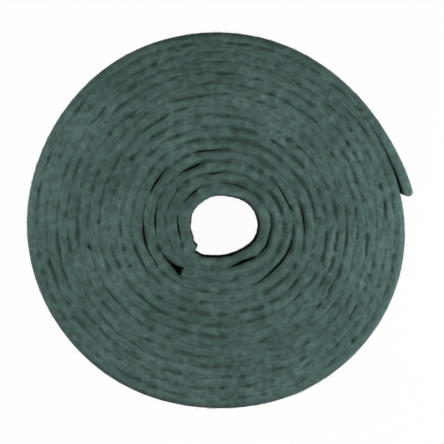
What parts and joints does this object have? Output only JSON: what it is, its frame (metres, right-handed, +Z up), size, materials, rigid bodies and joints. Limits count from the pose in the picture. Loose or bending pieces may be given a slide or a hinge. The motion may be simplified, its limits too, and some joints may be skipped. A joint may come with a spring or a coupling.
{
  "type": "abrasive pad roll",
  "caption": "Roll of grey-green fibrous abrasive web, one strip wound on itself with an open middle, standing on its end; pads are cut from it for scouring and rubbing down.",
  "frame": {"origin": "middle of the roll's box, on the flat end that it stands on", "axes": "+Z up along the axis of the winding; +X towards the free outer end of the strip, a few degrees short of it"},
  "size_m": [0.23, 0.2232, 0.15],
  "materials": {
    "abrasive_web": "open, matt, fibrous"
  },
  "bodies": {
    "root": {"pad_strip": "abrasive_web"}
  },
  "joints": []
}
